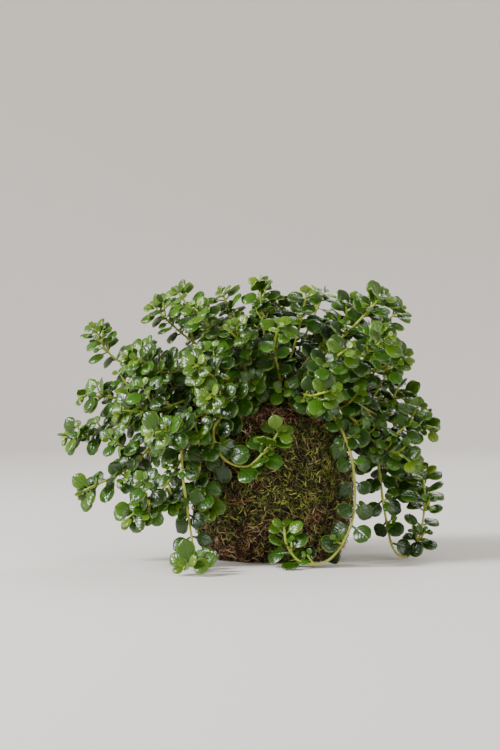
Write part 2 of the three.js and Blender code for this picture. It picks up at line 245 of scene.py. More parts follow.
def to_pattern(bm):
    """A bmesh's points and faces as plain lists, to be copied many times."""
    bm.verts.index_update()
    points = np.array([vert.co[:] for vert in bm.verts])
    faces = [[vert.index for vert in face.verts] for face in bm.faces]
    bm.free()
    return points, faces


def moss_shoot(draw):
    """A curled shoot along X."""
    turn = 2.5 + 4 * draw()
    phase = 2 * math.pi * draw()
    curl = 0.6 + 0.8 * draw()
    lift = 1.3 * draw() - 0.2
    path = []
    for t in (0, 0.25, 0.5, 0.75, 1):
        swing = curl * (math.sin(phase + turn * t) - math.sin(phase))
        path.append((SHOOT_LENGTH * t * (1 - 0.1 * curl), swing, lift * math.sin(math.pi * t) + 0.3 * swing))
    bm = bmesh.new()
    add_tube(bm, path, [0, SHOOT_RADIUS, SHOOT_RADIUS * 0.9, SHOOT_RADIUS * 0.65, 0], 3)
    return to_pattern(bm)


def copies_mesh(name, patterns, placed):
    """One mesh with a copy of a pattern for each (pattern number, matrix, tone) in placed."""
    points, faces, tones = [], [], []
    count = 0
    for i, matrix, tone in placed:
        shape, shape_faces = patterns[i]
        points.append(shape @ matrix[:3, :3].T + matrix[:3, 3])
        faces.extend([[index + count for index in face] for face in shape_faces])
        tones.extend([tone] * len(shape))
        count += len(shape)
    points = np.concatenate(points)
    points[:, 2] = np.maximum(points[:, 2], 0.1)
    mesh = bpy.data.meshes.new(name)
    mesh.from_pydata(points.tolist(), [], faces)
    mesh.attributes.new("tone", "FLOAT", "POINT").data.foreach_set("value", tones)
    mesh.shade_smooth()
    return mesh


def moss_surface(angle, z):
    """A point on the moss's outside."""
    radius = ball_radius(z) + moss_lump(angle, z)
    return np.array([radius * math.cos(angle), radius * math.sin(angle), z])


def soil_height(radius):
    """How high the soil's dome in the mouth stands at a distance from its middle."""
    return SOIL_TOP - SOIL_DOME * (radius / MOUTH_RADIUS) ** 2


def moss_spot(draw):
    """A point on the moss or on the soil in its mouth, and the way that its surface faces."""
    angle = 2 * math.pi * draw()
    if draw() < MOUTH_SHARE:
        radius = (MOUTH_RADIUS + 4) * math.sqrt(draw())
        height = soil_height(radius) + 0.5
        return np.array([radius * math.cos(angle), radius * math.sin(angle), height]), np.array([0, 0, 1.0])
    while True:
        z = 0.8 + (RIM_HEIGHT - 1.5) * draw()
        slope = ball_radius(z + 1) - ball_radius(z)
        if draw() * BALL_RADIUS * 1.25 <= ball_radius(z) * math.hypot(1, slope):
            break
    point = moss_surface(angle, z)
    around = moss_surface(angle + 0.02, z) - point
    upwards = moss_surface(angle, z + 0.8) - point
    return point, unit(np.cross(around, upwards))


def dryness(point):
    """How likely the moss is dry at a point, from 0 to 1: at the mouth, low down and in patches."""
    patch = noise.noise(Vector(point) * 0.055 + Vector((3, 1, 7)))
    fine = noise.noise(Vector(point) * 0.16)
    top = 1 - min(1, abs(point[2] - 86) / 11)
    low = 1 - min(1, max(0, point[2] - 10) / 26)
    return min(1, max(0.04, 1.15 * top + low * (0.62 + 0.9 * patch) + 0.55 * patch + 0.4 * fine))


def shoot_matrix(point, normal, draw):
    """Roots a shoot in the felt, in any direction and more or less raised, at half to 1.3 times
    its size."""
    helper = np.array([0, 0, 1.0]) if abs(normal[2]) < 0.9 else np.array([1.0, 0, 0])
    east = unit(np.cross(helper, normal))
    turn = 2 * math.pi * draw()
    raised = LEAST_RAISE + (MOST_RAISE - LEAST_RAISE) * draw() ** 1.5
    flat = math.cos(turn) * east + math.sin(turn) * np.cross(normal, east)
    ahead = math.cos(raised) * flat + math.sin(raised) * normal
    side = unit(np.cross(normal, ahead))
    size = 0.55 + 0.75 * draw()
    depth = 0.5 - 1.5 * draw() ** 2
    matrix = np.eye(4)
    matrix[:3, 0] = ahead * size
    matrix[:3, 1] = side * size
    matrix[:3, 2] = np.cross(ahead, side) * size
    matrix[:3, 3] = point - depth * normal - 0.4 * SHOOT_LENGTH * size * flat
    return matrix


def strand_material(name, stops):
    """Moss, straw and dead stems are matt, and each strand has its own shade of its kind."""
    material = new_material(name)
    tone = add_node(material, "ShaderNodeAttribute", {"attribute_name": "tone"})
    place = add_node(material, "ShaderNodeTexCoord").outputs["Object"]
    mottle = add_node(material, "ShaderNodeTexNoise", {"Scale": 700.0, "Detail": 2.0}, {"Vector": place})
    shift = add_node(material, "ShaderNodeMapRange", {3: -0.3, 4: 0.3}, {0: mottle.outputs["Fac"]})
    shade = add_node(material, "ShaderNodeMath", {"operation": "ADD", "use_clamp": True},
                     {0: tone.outputs["Fac"], 1: shift.outputs[0]})
    colour = add_node(material, "ShaderNodeValToRGB", {"stops": stops}, {"Fac": shade.outputs[0]})
    shader = add_node(material, "ShaderNodeBsdfPrincipled", {"Roughness": 0.7},
                      {"Base Color": colour.outputs["Color"]})
    add_node(material, "ShaderNodeOutputMaterial", links={"Surface": shader.outputs[0]})
    return material


def add_moss_shoots():
    """Strews the shoots over the moss, lighter and darker in clumps."""
    draw = draw_from(20011)
    patterns = [moss_shoot(draw) for _ in range(SHOOT_KINDS)]
    placed = {"green": [], "olive": [], "dry": []}
    for _ in range(SHOOT_COUNT):
        point, normal = moss_spot(draw)
        matrix = shoot_matrix(point, normal, draw)
        kind = "dry" if draw() < dryness(point) else ("green" if draw() < 0.5 else "olive")
        clump = noise.noise(Vector(point) * 0.28) + 0.6 * noise.noise(Vector(point) * 0.7)
        tone = min(1, max(0, 0.04 + 0.96 * draw() ** 1.7 + 0.35 * clump))
        placed[kind].append((int(draw() * SHOOT_KINDS), matrix, tone))
    for kind, stops in SHOOT_COLOURS.items():
        name = "moss_shoots_" + kind
        material = strand_material("Moss shoots, " + kind, stops)
        add_piece(name, copies_mesh(name, patterns, placed[kind]), [material], "moss", "moss_wrap")


add_moss_shoots()


# Litter in the moss: straw and dead stems that were wrapped in with it, a reddish twig that lies
# across the front, and a few fine pale roots that have come out at the right.

STRAW_COUNT = 90
STRAW_RADIUS = 0.26
TWIG_RADII = [0.42, 0.34]
ROOT_COUNT = 8
ROOT_RADIUS = 0.16
FRONT = -math.pi / 2


def over_moss(angle, z, lift):
    """A point just above the moss."""
    point = moss_surface(angle, z)
    return point + lift * unit(np.array([point[0], point[1], 0]))


def litter_line(angle, z, turn, length, lift, droop=0):
    """A slightly bent line that lies on the moss."""
    line = []
    for t in np.linspace(-0.5, 0.5, 6):
        reach = length * t
        height = z + reach * math.sin(turn) + 1.2 * math.sin(5 * t) - droop * (t + 0.5) ** 2
        around = angle + (reach * math.cos(turn) + math.sin(7 * t + turn)) / BALL_RADIUS
        line.append(over_moss(around, min(max(height, 0.8), 84), lift + 0.8 * math.cos(4 * t + turn)))
    return line


def add_litter():
    """Makes the straws, the two pieces of twig and the roots as one piece."""
    draw = draw_from(50021)
    lines = []
    for _ in range(STRAW_COUNT):
        z = 4 + 78 * draw() ** 1.3
        tone = 0.35 + 0.6 * draw()
        straw = litter_line(2 * math.pi * draw(), z, math.pi * draw(), 7 + 9 * draw(), 1.1)
        lines.append((straw, STRAW_RADIUS, tone))
    lines.append((litter_line(FRONT - 0.4, 36, 0.05, 19, 2.7), TWIG_RADII[0], 0.1))
    lines.append((litter_line(FRONT - 0.16, 47, 1.2, 9, 2.4), TWIG_RADII[1], 0.15))
    for i in range(ROOT_COUNT):
        root = litter_line(FRONT + 1.02 + 0.035 * i, 30 - i % 3, -1.2 - 0.1 * (i % 2), 11, 2.6, 3)
        lines.append((root, ROOT_RADIUS, 1.0))
    bm = bmesh.new()
    tones = []
    for line, radius, tone in lines:
        add_tube(bm, line, radius * np.array([0, 1, 1, 0.9, 0.7, 0]), 4)
        tones.extend([tone] * (len(bm.verts) - len(tones)))
    mesh = bpy.data.meshes.new("moss_litter")
    bm.to_mesh(mesh)
    bm.free()
    mesh.attributes.new("tone", "FLOAT", "POINT").data.foreach_set("value", tones)
    mesh.shade_smooth()
    material = strand_material("Straw and twigs", [(0.0, "7a3a1c"), (0.3, "8a5a2c"), (0.7, "c0a063"),
                                                   (1.0, "e6dcc0")])
    add_piece("moss_litter", mesh, [material], "moss", "moss_wrap")


add_litter()


# Potting soil: dark peat with bark in it, which fills the moss and shows as a low dome in its
# mouth. The CAD solid stays, with a hole for each stem, and crumbs lie on it among the stems.

CRUMB_COUNT = 260


def soil_material():
    """Moist peat is nearly black and matt, with browner clods 5 mm apart and grains 1.5 mm."""
    material = new_material("Potting soil")
    place = add_node(material, "ShaderNodeTexCoord").outputs["Object"]
    grains = add_node(material, "ShaderNodeTexVoronoi", {"Scale": 700.0}, {"Vector": place})
    clods = add_node(material, "ShaderNodeTexNoise", {"Scale": 180.0, "Detail": 4.0}, {"Vector": place})
    colour = add_node(material, "ShaderNodeValToRGB",
                      {"stops": [(0.3, "1c130c"), (0.55, "33241a"), (0.8, "5a432c")]},
                      {"Fac": clods.outputs["Fac"]})
    bump = add_node(material, "ShaderNodeBump", {"Strength": 0.7, "Distance": 0.001},
                    {"Height": grains.outputs["Distance"]})
    shader = add_node(material, "ShaderNodeBsdfPrincipled", {"Roughness": 0.95},
                      {"Base Color": colour.outputs["Color"], "Normal": bump.outputs["Normal"]})
    add_node(material, "ShaderNodeOutputMaterial", links={"Surface": shader.outputs[0]})
    return material


def soil_crumb_mesh():
    """Crumbs of 1 to 3 mm, strewn over the dome."""
    draw = draw_from(30011)
    bm = bmesh.new()
    bmesh.ops.create_icosphere(bm, subdivisions=1, radius=1)
    for vert in bm.verts:
        vert.co *= 1 + 0.35 * noise.noise(vert.co * 1.7)
    crumb = to_pattern(bm)
    placed = []
    for _ in range(CRUMB_COUNT):
        radius = (MOUTH_RADIUS - 1.5) * math.sqrt(draw())
        angle = 2 * math.pi * draw()
        size = 0.5 + 0.9 * draw() ** 2
        axis = Vector((draw(), draw(), draw() + 0.1)).normalized()
        matrix = np.eye(4)
        matrix[:3, :3] = np.array(Matrix.Rotation(6 * draw(), 3, axis)) * size
        matrix[:3, 3] = (radius * math.cos(angle), radius * math.sin(angle), soil_height(radius) + 0.4 * size)
        placed.append((0, matrix, draw()))
    return copies_mesh("soil_crumbs", [crumb], placed)


potting_soil = soil_material()
soil_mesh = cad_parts["soil_ball"].data
soil_mesh.materials.clear()
soil_mesh.materials.append(potting_soil)
add_piece("soil_crumbs", soil_crumb_mesh(), [potting_soil], "soil")


# Binding thread: dyed cotton sewing thread, wound round the moss in two crossed loops and pulled
# tight, so that it sinks in among the shoots.

THREAD_RADIUS = 0.45
THREAD_TILT = math.radians(50)
THREAD_CENTRE = 46
THREAD_LIFT = 0.1
THREAD_POINTS = 120


def thread_reach(direction):
    """How far the moss's surface lies from the middle of the loops in a direction."""
    near, far = 20.0, 80.0
    for _ in range(24):
        middle = (near + far) / 2
        x, y, z = direction * middle
        z += THREAD_CENTRE
        inside = 0 <= z <= RIM_HEIGHT and math.hypot(x, y) < ball_radius(z) + moss_lump(math.atan2(y, x), z)
        near, far = (middle, far) if inside else (near, middle)
    return near


def thread_mesh():
    """Two tilted loops that follow the moss."""
    bm = bmesh.new()
    for turn in (0, math.pi / 2):
        tilted = np.array(Matrix.Rotation(turn, 3, "Z") @ Matrix.Rotation(THREAD_TILT, 3, "X"))
        path = []
        for angle in np.linspace(0, 2 * math.pi, THREAD_POINTS + 1):
            direction = tilted @ np.array([math.cos(angle), math.sin(angle), 0])
            path.append(direction * (thread_reach(direction) + THREAD_LIFT) + np.array([0, 0, THREAD_CENTRE]))
        add_tube(bm, path, [THREAD_RADIUS] * len(path), 6, tilted @ np.array([0, 0, 1.0]))
    mesh = bpy.data.meshes.new("thread_loops")
    bm.to_mesh(mesh)
    bm.free()
    mesh.shade_smooth()
    return mesh


def thread_material():
    """Twisted cotton is matt with a faint sheen. Its ply is drawn 2 mm long so that it shows."""
    material = new_material("Cotton thread")
    place = add_node(material, "ShaderNodeTexCoord").outputs["Object"]
    ply = add_node(material, "ShaderNodeTexWave", {"Scale": 160.0, "Distortion": 1.0}, {"Vector": place})
    colour = add_node(material, "ShaderNodeValToRGB", {"stops": [(0.0, "2a2d17"), (1.0, "55572f")]},
                      {"Fac": ply.outputs["Fac"]})
    bump = add_node(material, "ShaderNodeBump", {"Strength": 0.4, "Distance": 0.0003},
                    {"Height": ply.outputs["Fac"]})
    shader = add_node(material, "ShaderNodeBsdfPrincipled", {"Roughness": 0.8, "Sheen Weight": 0.3},
                      {"Base Color": colour.outputs["Color"], "Normal": bump.outputs["Normal"]})
    add_node(material, "ShaderNodeOutputMaterial", links={"Surface": shader.outputs[0]})
    return material


add_piece("thread_loops", thread_mesh(), [thread_material()], "thread", "binding_thread")


# Leafy stems: the stems of a creeping plant, rooted in the soil. Each keeps the line of its CAD
# solid, by the same tips, routes and seeded draws, and bears many more leaves and side shoots.

TIPS = {
    "top": [
        [-56, -20, 158], [-45, -42, 148], [-71, -4, 150], [-30, 6, 159], [-8, -6, 164], [8, 20, 154],
        [20, -14, 157], [32, 14, 159], [50, -8, 153], [65, -20, 156], [77, 10, 148], [-21, -48, 137],
        [3, -48, 137], [42, -52, 124], [-44, -62, 115],
    ],
    "left": [
        [-106, -6, 137], [-84, -30, 121], [-110, -24, 97], [-122, -8, 72], [-111, -32, 41],
        [-88, -44, 88], [-68, -66, 76], [-82, -60, 28], [-36, -70, 98],
    ],
    "right": [
        [79, -4, 120], [66, -42, 131], [84, 18, 96], [94, -14, 77], [79, -40, 60], [92, 10, 36],
        [32, -58, 100],
    ],
    "back": [
        [-48, 44, 148], [-5, 60, 146], [42, 52, 143], [-86, 42, 108], [-40, 84, 98], [20, 90, 94],
        [74, 60, 106], [-94, 46, 54], [-32, 92, 46], [40, 88, 38], [88, 54, 50],
    ],
}
TRAILS = {
    "front_left": [
        [-34, -17, 94], [-51, -37, 80], [-52, -52, 57], [-48, -59, 28], [-44, -68, 6], [-41, -88, 3],
        [-48, -106, 6],
    ],
    "front_inner": [
        [-28, -24, 94], [-41, -41, 83], [-42, -48, 58], [-42, -50, 44], [-37, -53, 31],
    ],
    "front_right": [
        [28, -24, 94], [43, -40, 70], [47, -48, 43], [44, -54, 22], [32, -64, 5], [17, -68, 3],
        [8, -64, 12], [6, -62, 24],
    ],
    "front_sprig": [
        [-21, -30, 92], [-34, -46, 78], [-29, -53, 62], [-15, -57, 57], [-3, -60, 68], [3, -61, 77],
    ],
    "right": [
        [35, -3, 96], [53, -3, 84], [62, -10, 60], [66, -18, 30], [71, -24, 7], [80, -25, 3],
        [87, -22, 16], [90, -18, 36], [89, -16, 52],
    ],
}
TURNED_UP = {
    "leafy_stem_left_01": [
        [-40, 2, 108], [-62, 0, 110], [-80, -3, 112], [-94, -5, 119], [-101, -6, 127], [-106, -6, 137],
    ],
}
CROWN_RADIUS = 22.5
CROWN_SPACING = 5.2
CROWN_ROUNDS = 80
CROWN_CENTRE = 78
WIDEST_LEAN = math.radians(110)
START_LEAN = 0.36
END_LEAN = 0.72
START_PULL = 0.42
END_PULL = 0.3
ARCH_STOPS = [0.12, 0.36, 0.68]
WIGGLE = 3
HOLE_DEPTH = 5
SEED_STEP = 7919
FEWER_ON_TRAILS = 0.34
FEWER_ON_TOP = 0.18
SPRIG_VIGOUR = 1.25
UP = np.array([0, 0, 1.0])
LIGHT = unit(np.array([-0.35, -0.8, 0.5]))


def wanted_start(stem):
    """Where a stem would leave the soil if it had no neighbours."""
    x, y, z = stem["route"][0] if stem["route"] else stem["tip"]
    stem["outwards"] = unit(np.array([x, y, 0.0]))
    stem["from_up"] = math.atan2(math.hypot(x, y), z - CROWN_CENTRE)
    spread = 1 if stem["route"] else min(1, stem["from_up"] / WIDEST_LEAN) ** 0.7
    return stem["outwards"] * CROWN_RADIUS * spread


def spread_starts(stems):
    """Moves the starts of neighbouring stems apart until each has its own patch of soil."""
    starts = [wanted_start(stem) for stem in stems]
    for _ in range(CROWN_ROUNDS):
        for i, one in enumerate(starts):
            for other in starts[i + 1:]:
                apart = one - other
                length = math.sqrt(apart.dot(apart))
                if length < CROWN_SPACING:
                    apart *= (CROWN_SPACING - length) / 2 / length
                    one += apart
                    other -= apart
            one *= min(1, CROWN_RADIUS / (math.sqrt(one.dot(one)) or 1))
    for stem, start in zip(stems, starts):
        start[2] = soil_height(math.hypot(start[0], start[1]))
        stem["start"] = start


def smooth_line(points, per_span=24):
    """Points along a smooth curve through the given ones."""
    points = [np.asarray(p, dtype=float) for p in points]
    ends = [2 * points[0] - points[1]] + points + [2 * points[-1] - points[-2]]
    line = []
    for i in range(1, len(ends) - 2):
        before, here, there, after = ends[i - 1:i + 3]
        pull, push = 0.5 * (there - before), 0.5 * (after - here)
        for t in np.arange(per_span) / per_span:
            line.append(here + pull * t + (-3 * here + 3 * there - 2 * pull - push) * t ** 2
                        + (2 * here - 2 * there + pull + push) * t ** 3)
    return np.array(line + [points[-1]])


def stem_line(stem):
    """The line that a stem follows, from the floor of its hole to its tip."""
    outwards, start = stem["outwards"], stem["start"]
    tip = np.array(stem["tip"], dtype=float)
    lean = START_LEAN * min(stem["from_up"], WIDEST_LEAN)
    rise = outwards * math.sin(lean) + UP * math.cos(lean)
    buried = start - rise * HOLE_DEPTH
    if stem["route"]:
        return smooth_line([buried, start] + stem["route"])
    length = np.linalg.norm(tip - start)
    end_lean = END_LEAN * stem["from_up"]
    arrive = outwards * math.sin(end_lean) + UP * math.cos(end_lean)
    first, second = start + rise * START_PULL * length, tip - arrive * END_PULL * length
    sideways = np.cross(UP, outwards)
    bends = []
    for t in ARCH_STOPS:
        s = 1 - t
        arch = s ** 3 * start + 3 * s * s * t * first + 3 * s * t * t * second + t ** 3 * tip
        bends.append(arch + sideways * WIGGLE * (2 * stem["draw"]() - 1))
    return smooth_line([buried, start] + bends + [tip])


def place_stems():
    """The stems with their lines. Those that trail, turn up or stand on top bear fewer side shoots,
    and the short sprig at the front bears larger leaves."""
    stems = []
    named = [(f"leafy_stem_{group}_{i + 1:02d}", tip)
             for group, tips in TIPS.items() for i, tip in enumerate(tips)]
    named += [(f"leafy_stem_trailing_{name}", route[-1]) for name, route in TRAILS.items()]
    for name, tip in named:
        # As in the CAD model, the first draw isn't used
        draw = draw_from(SEED_STEP * (len(stems) + 11))
        draw()
        route = TURNED_UP.get(name) or TRAILS.get(name.removeprefix("leafy_stem_trailing_"))
        sparse = FEWER_ON_TRAILS if route else (FEWER_ON_TOP if "top" in name else 0)
        vigour = SPRIG_VIGOUR if "sprig" in name else 1
        stems.append({"name": name, "tip": tip, "route": route, "draw": draw, "sparse": sparse,
                      "vigour": vigour})
    spread_starts(stems)
    for stem in stems:
        stem["line"] = stem_line(stem)
        stem["length"] = np.sum(np.linalg.norm(np.diff(stem["line"], axis=0), axis=1))
    return stems


# Leaves: thin, round and glossy, on a short stalk, with a shallow scalloped edge, a fold at the
# midrib and halves that bulge beside it. They come in crosswise pairs, the young ones at the tips
# smaller and more yellow.

LEAF_LENGTH = 12.5
LEAF_HALF_WIDTH = 4.55
LEAF_THICKNESS = 0.45
LEAF_BULGE = 0.75
EDGE_DROOP = 0.6
STALK_SHARE = 0.27
LEAF_KINDS = 8
SMALL_LEAF_KINDS = 4
LEAF_ROWS = [(0, 0.1), (STALK_SHARE, 0.13), (0.31, 0.49), (0.385, 0.77), (0.49, 0.96), (0.62, 1.03),
             (0.755, 0.98), (0.87, 0.81), (0.95, 0.56), (1, 0.26)]
SMALL_LEAF_ROWS = [(0, 0.12), (0.3, 0.2), (0.5, 0.88), (0.7, 1.05), (0.9, 0.82), (1, 0.42)]


def leaf_pattern(rows, columns, draw):
    """A leaf along X with its upper side towards Z, and where each point is on the blade."""
    arch = 0.5 + 1.6 * draw()
    fold = 1.3 * draw() - 0.5
    scallop = 0.005 + 0.015 * draw()
    skew = 0.16 * (draw() - 0.5)
    phase = int(2 * draw())
    last = len(rows) - 1
    bm = bmesh.new()
    layers = [bm.verts.layers.float.new(name) for name in ("along", "across")]
    for vert in bmesh.ops.create_grid(bm, x_segments=last, y_segments=columns, size=1)["verts"]:
        row = round((vert.co.x + 1) / 2 * last)
        share, width = rows[row]
        v = round(vert.co.y, 3)
        vert[layers[0]], vert[layers[1]] = share, v
        blade = max(0, share - STALK_SHARE) / (1 - STALK_SHARE)
        if row > 1 and abs(v) > 0.9:
            width *= 1 + scallop * (1 if (row + phase) % 2 else -1)
        rounding = v * v * (0.03 if row == last else 0.06 * blade ** 3)
        notch = 0.012 if row == last and v == 0 else 0
        sideways = width * v + skew * blade * (1 - v * v)
        bulge = LEAF_BULGE * math.sin(math.pi * abs(v)) * math.sin(math.pi * min(1, blade))
        height = fold * abs(v) * width * blade + bulge - arch * share * share - EDGE_DROOP * v ** 4 * blade
        vert.co = (LEAF_LENGTH * (share - rounding - notch), LEAF_HALF_WIDTH * sideways, height)
    bmesh.ops.solidify(bm, geom=bm.faces[:], thickness=LEAF_THICKNESS)
    bmesh.ops.recalc_face_normals(bm, faces=bm.faces)
    spots = [(vert[layers[0]], vert[layers[1]]) for vert in bm.verts]
    return to_pattern(bm) + (spots,)


def leaf_material():
    """A thin, fresh, waxy leaf: glossy, lets a little light through, and is quilted between its
    nerves, with a furrow at the midrib that is darkened as painted shade, and a paler edge. The
    side nerves are about 2 mm apart."""
    material = new_material("Fresh leaf")
    age = add_node(material, "ShaderNodeAttribute", {"attribute_name": "age"})
    tone = add_node(material, "ShaderNodeAttribute", {"attribute_name": "tone"})
    blade = add_node(material, "ShaderNodeUVMap", {"uv_map": "leaf"})
    spot = add_node(material, "ShaderNodeSeparateXYZ", links={"Vector": blade.outputs["UV"]})
    across = add_node(material, "ShaderNodeMath", {"operation": "ABSOLUTE"}, {0: spot.outputs["Y"]})
    midrib = add_node(material, "ShaderNodeMapRange", {1: 0.0, 2: 0.12, 3: 1.0, 4: 0.0},
                      {0: across.outputs[0]})
    length = add_node(material, "ShaderNodeMath", {"operation": "MULTIPLY", 1: 6.0}, {0: spot.outputs["X"]})
    slant = add_node(material, "ShaderNodeMath", {"operation": "MULTIPLY_ADD", 1: -2.2},
                     {0: across.outputs[0], 2: length.outputs[0]})
    quilt = add_node(material, "ShaderNodeMath", {"operation": "PINGPONG", 1: 0.5}, {0: slant.outputs[0]})
    place = add_node(material, "ShaderNodeTexCoord").outputs["Object"]
    mottle = add_node(material, "ShaderNodeTexNoise", {"Scale": 450.0, "Detail": 3.0}, {"Vector": place})
    aged = add_node(material, "ShaderNodeValToRGB",
                    {"stops": [(0.0, "7c951c"), (0.14, "567a12"), (0.5, "3a660d"), (1.0, "2b4e0a")]},
                    {"Fac": age.outputs["Fac"]})
    darker = add_node(material, "ShaderNodeMix", {"data_type": "RGBA", "blend_type": "MULTIPLY",
                                                  7: linear("9ca67c")},
                      {0: tone.outputs["Fac"], 6: aged.outputs["Color"]})
    paler = add_node(material, "ShaderNodeMix", {"data_type": "RGBA", "blend_type": "SOFT_LIGHT",
                                                 7: linear("b4bc5c")},
                     {0: mottle.outputs["Fac"], 6: darker.outputs[2]})
    # The furrow at the midrib is darkened towards deep green: painted shade in the fold.
    furrow_shade_share = add_node(material, "ShaderNodeMath", {"operation": "MULTIPLY", 1: 0.45},
                            {0: midrib.outputs[0]})
    furrow_shaded = add_node(material, "ShaderNodeMix", {"data_type": "RGBA", 7: linear("274a0c")},
                        {0: furrow_shade_share.outputs[0], 6: paler.outputs[2]})
    rim = add_node(material, "ShaderNodeMapRange", {1: 0.86, 2: 1.0, 3: 0.0, 4: 0.4}, {0: across.outputs[0]})
    colour = add_node(material, "ShaderNodeMix", {"data_type": "RGBA", 7: linear("86a444")},
                      {0: rim.outputs[0], 6: furrow_shaded.outputs[2]})
    grain = add_node(material, "ShaderNodeMath", {"operation": "ADD"},
                     {0: quilt.outputs[0], 1: mottle.outputs["Fac"]})
    surface = add_node(material, "ShaderNodeMath", {"operation": "SUBTRACT"},
                       {0: grain.outputs[0], 1: midrib.outputs[0]})
    bump = add_node(material, "ShaderNodeBump", {"Strength": 0.3, "Distance": 0.0005},
                    {"Height": surface.outputs[0]})
    shader = add_node(material, "ShaderNodeBsdfPrincipled", {"Roughness": 0.27, "IOR": 1.5},
                      {"Base Color": colour.outputs[2], "Normal": bump.outputs["Normal"]})
    glow = add_node(material, "ShaderNodeBsdfTranslucent", links={"Color": colour.outputs[2]})
    mixed = add_node(material, "ShaderNodeMixShader", {0: 0.1},
                     {1: shader.outputs[0], 2: glow.outputs[0]})
    add_node(material, "ShaderNodeOutputMaterial", links={"Surface": mixed.outputs[0]})
    return material


def stem_material():
    """A soft green stem: smooth and waxy, and browner towards its foot."""
    material = new_material("Green plant stem")
    age = add_node(material, "ShaderNodeAttribute", {"attribute_name": "age"})
    place = add_node(material, "ShaderNodeTexCoord").outputs["Object"]
    mottle = add_node(material, "ShaderNodeTexNoise", {"Scale": 220.0, "Detail": 3.0}, {"Vector": place})
    aged = add_node(material, "ShaderNodeValToRGB",
                    {"stops": [(0.0, "94a83c"), (0.5, "90983e"), (1.0, "84803e")]},
                    {"Fac": age.outputs["Fac"]})
    colour = add_node(material, "ShaderNodeMix", {"data_type": "RGBA", "blend_type": "SOFT_LIGHT",
                                                  7: linear("b9b264")},
                      {0: mottle.outputs["Fac"], 6: aged.outputs["Color"]})
    bump = add_node(material, "ShaderNodeBump", {"Strength": 0.25, "Distance": 0.0002},
                    {"Height": mottle.outputs["Fac"]})
    shader = add_node(material, "ShaderNodeBsdfPrincipled", {"Roughness": 0.42},
                      {"Base Color": colour.outputs[2], "Normal": bump.outputs["Normal"]})
    add_node(material, "ShaderNodeOutputMaterial", links={"Surface": shader.outputs[0]})
    return material


# Growth: a pair of leaves at each node of a stem, and from the older nodes short side shoots that
# turn up. Few leaves last inside the crown, where it is dark. What would stand in the ball or in
# another leaf is left out.

# The stem's nodes, counted back from its tip
NODE_GAPS = [1.2, 4, 5, 6, 7, 9, 10, 12, 13]
NODE_SCALES = [0.65, 0.95, 1]
LEAF_OPENING = [0.75, 0.95, 1.1]
LEAF_TURNS = [0, 0.35, -0.35, 0.7, -0.7]
LEAFY_SHARE = 0.84
YOUNG_STRETCH = 24
BARE_TIPS = ["leafy_stem_trailing_front_right"]
# The side shoots and their own nodes
SIDE_CHANCE = 0.7
LONG_SIDE_CHANCE = 0.34
SIDE_GAPS = [0.5, 1.6, 2.6, 4.5, 6]
SIDE_SCALES = [0.45, 0.7, 0.92, 1]
SIDE_TURNS = [0, 0.4, -0.4]
SIDE_TAPER = np.array([0, 1.15, 1, 0.95, 0.9, 0.85, 0])
# The dark inside of the crown
DARK_RADIUS = 40
DARK_HEIGHT = 126
LEAVES_LOST = 0.3
# The room that a leaf takes, and the middles of the leaves so far, by cells of space
LEAF_CORNERS = np.array([[12, 0, -1.2], [8, 4.3, 0], [8, -4.3, 0], [8, 0, 0]])
LEAF_GAP = 1.6
LEAF_ROOM = 2.45
CELL_SIZE = 9
leaf_middles = {}
# The stem's own thickness
STEM_RADII = [0.96, 0.58]
NODE_SWELL = 0.35
NODE_REACH = 1.6
RING_STEP = 2.4


def point_back(line, back):
    """The point some way back from a line's end, and the line's direction there."""
    pieces = np.linalg.norm(np.diff(line, axis=0), axis=1)
    for i in range(len(pieces) - 1, -1, -1):
        if back <= pieces[i]:
            return line[i + 1] + (line[i] - line[i + 1]) * back / pieces[i], unit(line[i + 1] - line[i])
        back -= pieces[i]
    return line[0], unit(line[1] - line[0])


def leaf_node(line, back, level, angle, opening):
    """Where a pair of leaves stands on a line, the directions there, and the way that the leaves
    face: towards the light at the front, and outwards at the back."""
    at, along = point_back(line, back)
    side = unit(level - along * level.dot(along))
    open_side = unit(np.array([at[0], at[1], 0.0]))
    shaded = 0.5 * max(0, open_side[1])
    facing = unit(0.3 * along + 0.25 * UP + (0.8 - shaded) * LIGHT + (0.25 + shaded) * open_side)
    return {"at": at, "along": along, "side": side, "over": np.cross(along, side),
            "angle": angle, "opening": opening, "facing": facing}


def leaf_matrix(node, sign, twist, scale):
    """Puts a leaf on its stem with its upper side towards the light."""
    along, facing = node["along"], node["facing"]
    angle = node["angle"] + twist
    radial = node["side"] * math.cos(angle) + node["over"] * math.sin(angle)
    axis = radial * sign * math.sin(node["opening"]) + along * math.cos(node["opening"])
    axis = unit(axis - 0.5 * axis.dot(facing) * facing)
    normal = unit(facing - facing.dot(axis) * axis)
    matrix = np.eye(4)
    matrix[:3, 0] = axis * scale
    matrix[:3, 1] = np.cross(normal, axis) * scale
    matrix[:3, 2] = normal * scale
    matrix[:3, 3] = node["at"]
    return matrix


def in_the_open(point, margin):
    """True if a point is clear of the ball and of what it stands on."""
    if point[2] < margin:
        return False
    return point[2] > RIM_HEIGHT or math.hypot(point[0], point[1]) > ball_radius(point[2]) + margin


def leaf_fits(matrix, scale):
    """True if a leaf is in the open and its middle isn't near another's. It then takes its place."""
    corners = LEAF_CORNERS @ matrix[:3, :3].T + matrix[:3, 3]
    if not all(in_the_open(corner, LEAF_GAP) for corner in corners):
        return False
    middle = corners[3]
    x, y, z = [int(value) for value in middle // CELL_SIZE]
    for i in (x - 1, x, x + 1):
        for j in (y - 1, y, y + 1):
            for k in (z - 1, z, z + 1):
                for other, size in leaf_middles.get((i, j, k), ()):
                    if np.sum((other - middle) ** 2) < (LEAF_ROOM * (scale + size)) ** 2:
                        return False
    leaf_middles.setdefault((x, y, z), []).append((middle, scale))
    return True


